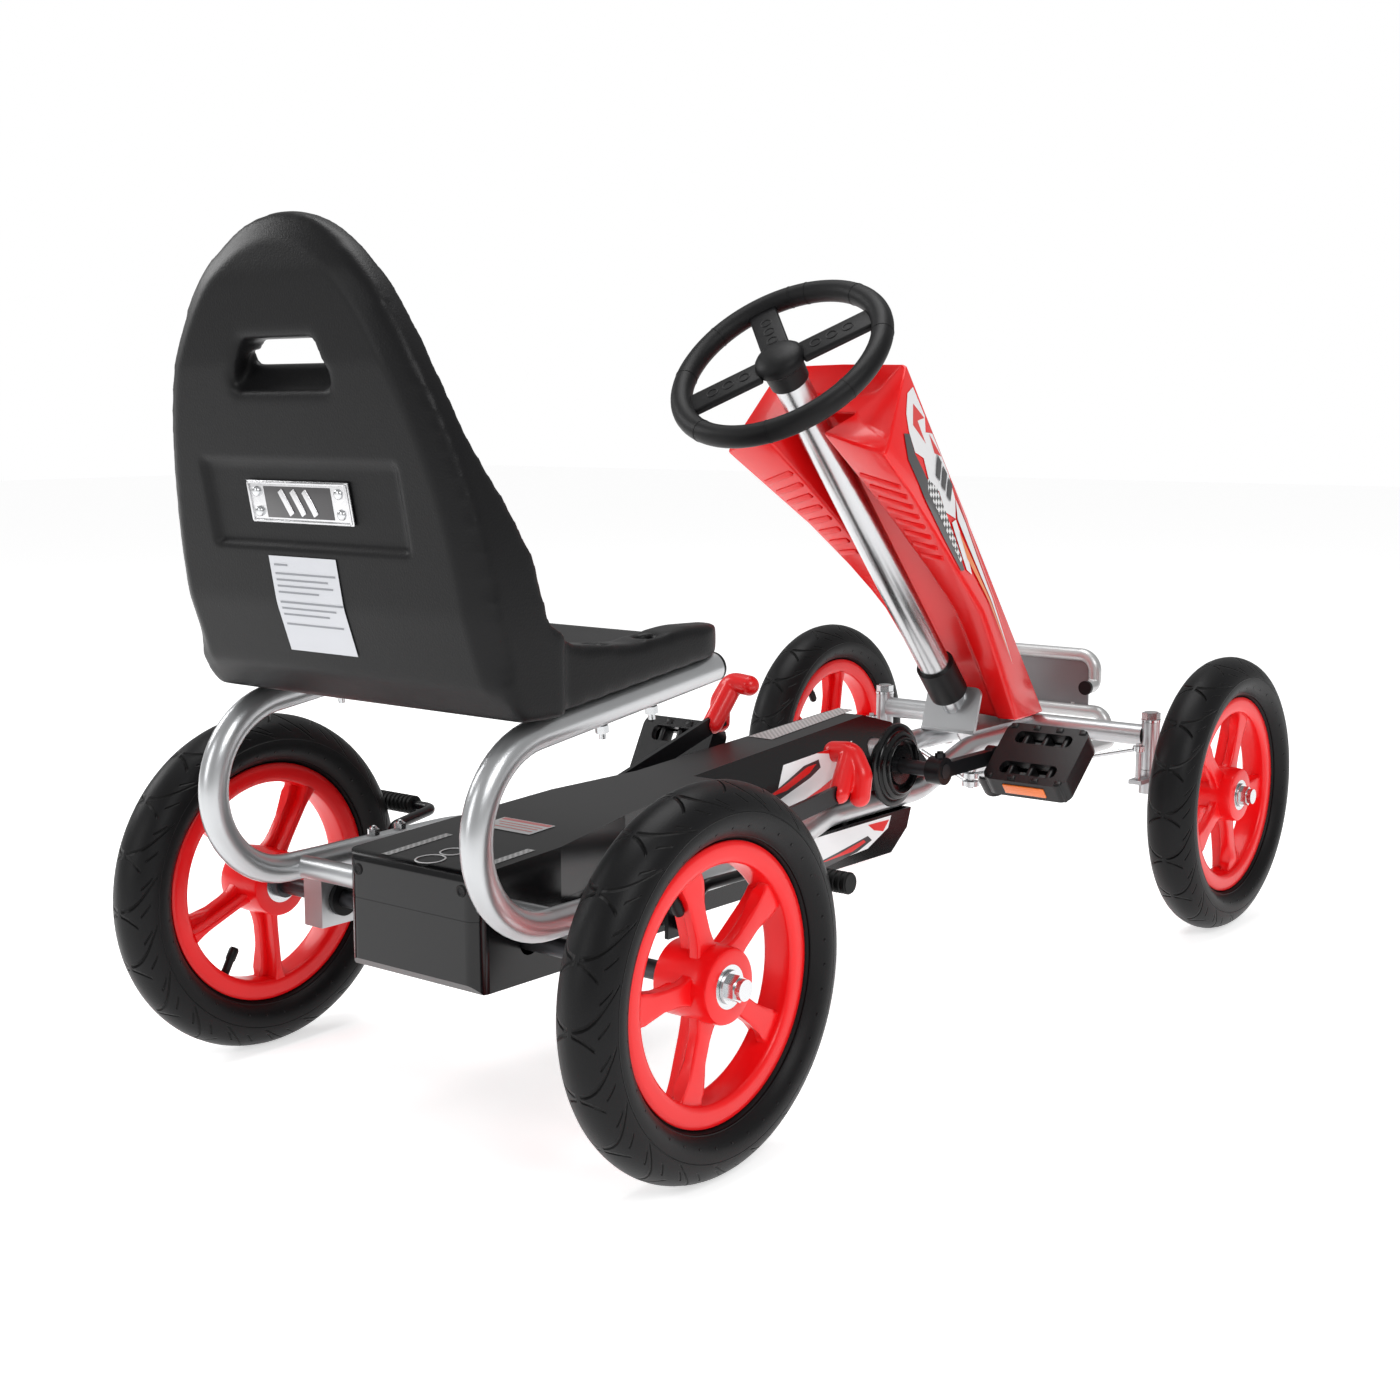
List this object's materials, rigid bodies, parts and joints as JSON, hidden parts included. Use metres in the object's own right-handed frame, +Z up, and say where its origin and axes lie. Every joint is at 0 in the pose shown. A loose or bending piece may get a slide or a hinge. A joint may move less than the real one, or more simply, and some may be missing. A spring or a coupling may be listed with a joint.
{
  "type": "pedal go kart",
  "caption": "Four-wheeled ride-on kart with a bucket seat, pedals and chain to the rear axle, steering wheel with linked front wheels, and hand brake levers.",
  "frame": {"origin": "on the floor, under the middle of the kart's bounding box", "axes": "+X forward, +Y to the rider's left, +Z up"},
  "size_m": [1.3094, 0.6328, 0.746],
  "materials": {
    "frame_silver": "silver paint, satin",
    "bumper_grey": "light grey paint, satin",
    "plate_grey": "dark grey paint, satin",
    "zinc_steel": "zinc plate",
    "bright_steel": "bright plate",
    "dark_steel": "dark oiled steel",
    "black_paint": "black paint, satin",
    "seat_plastic": "fine grained",
    "case_plastic": "glossy",
    "rim_plastic": "glossy red",
    "fairing_plastic": "glossy red",
    "brake_grip_plastic": "glossy red",
    "wheel_plastic": "smooth moulded",
    "trim_plastic": "smooth moulded",
    "pedal_plastic": "smooth moulded",
    "tyre_rubber": "moulded tread",
    "brake_rubber": "ribbed",
    "badge_metal": "polished"
  },
  "bodies": {
    "frame": {"frame_tube_left": "frame_silver", "frame_tube_right": "frame_silver", "rear_cross_tube": "frame_silver", "front_beam": "frame_silver", "column_bracket": "frame_silver", "bottom_bracket_shell": "frame_silver", "bottom_bracket_bushes": "trim_plastic", "axle_carriers": "frame_silver", "axle_bushes": "trim_plastic", "rail_plugs": "trim_plastic", "seat_shell": "seat_plastic", "seat_fasteners": "zinc_steel", "seat_badge": "badge_metal", "chain_case_top": "case_plastic", "chain_case_bottom": "case_plastic", "front_fairing": "fairing_plastic", "bumper_upper_hoop": "bumper_grey", "bumper_lower_hoop": "bumper_grey", "bumper_plate": "plate_grey", "bumper_plugs": "trim_plastic", "frame_screws": "zinc_steel", "drive_chain": "dark_steel", "brake_pivots": "black_paint"},
    "rear_axle": {"rear_axle": "dark_steel", "rear_sprocket": "dark_steel", "rear_axle_nuts": "bright_steel", "rear_right_rim": "rim_plastic", "rear_right_tyre": "tyre_rubber", "rear_right_bearings": "bright_steel"},
    "rear_left_wheel": {"rear_left_rim": "rim_plastic", "rear_left_tyre": "tyre_rubber", "rear_left_bearings": "bright_steel"},
    "crank": {"crank_axle": "dark_steel", "crank_arms": "black_paint", "chainring": "dark_steel"},
    "pedal_left": {"pedal_left": "pedal_plastic"},
    "pedal_right": {"pedal_right": "pedal_plastic"},
    "steering": {"steering_column": "zinc_steel", "steering_grip": "wheel_plastic", "steering_hub": "wheel_plastic", "column_collar": "trim_plastic", "column_end_cap": "trim_plastic"},
    "knuckle_left": {"knuckle_left": "frame_silver", "front_left_nuts": "bright_steel"},
    "front_left_wheel": {"front_left_rim": "rim_plastic", "front_left_tyre": "tyre_rubber", "front_left_bearings": "bright_steel"},
    "tie_rod_left": {"tie_rod_left": "zinc_steel"},
    "brake_lever_left": {"brake_lever_left": "black_paint", "brake_grip_left": "brake_grip_plastic", "brake_rubber_left": "brake_rubber"},
    "knuckle_right": {"knuckle_right": "frame_silver", "front_right_nuts": "bright_steel"},
    "front_right_wheel": {"front_right_rim": "rim_plastic", "front_right_tyre": "tyre_rubber", "front_right_bearings": "bright_steel"},
    "tie_rod_right": {"tie_rod_right": "zinc_steel"},
    "brake_lever_right": {"brake_lever_right": "black_paint", "brake_grip_right": "brake_grip_plastic", "brake_rubber_right": "brake_rubber"}
  },
  "joints": [
    {"name": "rear_axle_spin", "type": "hinge", "parent": "frame", "child": "rear_axle", "pos_m": [-0.46475, 0, 0.1585], "axis": [0, 1, 0], "continuous": true},
    {"name": "rear_left_wheel_spin", "type": "hinge", "parent": "rear_axle", "child": "rear_left_wheel", "pos_m": [-0.46475, 0.2675, 0.1585], "axis": [0, 1, 0], "continuous": true},
    {"name": "crank_spin", "type": "hinge", "parent": "frame", "child": "crank", "pos_m": [0.14825, 0, 0.216], "axis": [0, 1, 0], "continuous": true},
    {"name": "pedal_left_spin", "type": "hinge", "parent": "crank", "child": "pedal_left", "pos_m": [0.03625, 0.166, 0.216], "axis": [0, 1, 0], "continuous": true},
    {"name": "pedal_right_spin", "type": "hinge", "parent": "crank", "child": "pedal_right", "pos_m": [0.26025, -0.166, 0.216], "axis": [0, 1, 0], "continuous": true},
    {"name": "steering_turn", "type": "hinge", "parent": "frame", "child": "steering", "pos_m": [-0.00035, 0, 0.647], "axis": [-0.6735, 0, 0.7392], "range_deg": [-20, 20]},
    {"name": "knuckle_left_turn", "type": "hinge", "parent": "frame", "child": "knuckle_left", "pos_m": [0.49625, 0.187, 0.216], "axis": [0, 0, 1], "range_deg": [-23, 23]},
    {"name": "tie_rod_left_turn", "type": "hinge", "parent": "knuckle_left", "child": "tie_rod_left", "pos_m": [0.46525, 0.187, 0.205], "axis": [0, 0, 1], "range_deg": [-23, 23]},
    {"name": "front_left_wheel_spin", "type": "hinge", "parent": "knuckle_left", "child": "front_left_wheel", "pos_m": [0.49625, 0.2775, 0.1585], "axis": [0, 1, 0], "continuous": true},
    {"name": "brake_left_pull", "type": "hinge", "parent": "frame", "child": "brake_lever_left", "pos_m": [-0.37475, 0.156, 0.17], "axis": [0, -1, 0], "range_deg": [0, 11]},
    {"name": "knuckle_right_turn", "type": "hinge", "parent": "frame", "child": "knuckle_right", "pos_m": [0.49625, -0.187, 0.216], "axis": [0, 0, 1], "range_deg": [-23, 23]},
    {"name": "tie_rod_right_turn", "type": "hinge", "parent": "knuckle_right", "child": "tie_rod_right", "pos_m": [0.46525, -0.187, 0.205], "axis": [0, 0, 1], "range_deg": [-23, 23]},
    {"name": "front_right_wheel_spin", "type": "hinge", "parent": "knuckle_right", "child": "front_right_wheel", "pos_m": [0.49625, -0.2775, 0.1585], "axis": [0, 1, 0], "continuous": true},
    {"name": "brake_right_pull", "type": "hinge", "parent": "frame", "child": "brake_lever_right", "pos_m": [-0.37475, -0.156, 0.17], "axis": [0, -1, 0], "range_deg": [0, 11]}
  ],
  "couplings": [
    {"joint": "crank_spin", "follows": "rear_axle_spin", "ratio": 0.6},
    {"joint": "knuckle_left_turn", "follows": "steering_turn", "ratio": 1.1387},
    {"joint": "tie_rod_left_turn", "follows": "steering_turn", "ratio": -1.1387},
    {"joint": "knuckle_right_turn", "follows": "steering_turn", "ratio": 1.1387},
    {"joint": "tie_rod_right_turn", "follows": "steering_turn", "ratio": -1.1387}
  ]
}
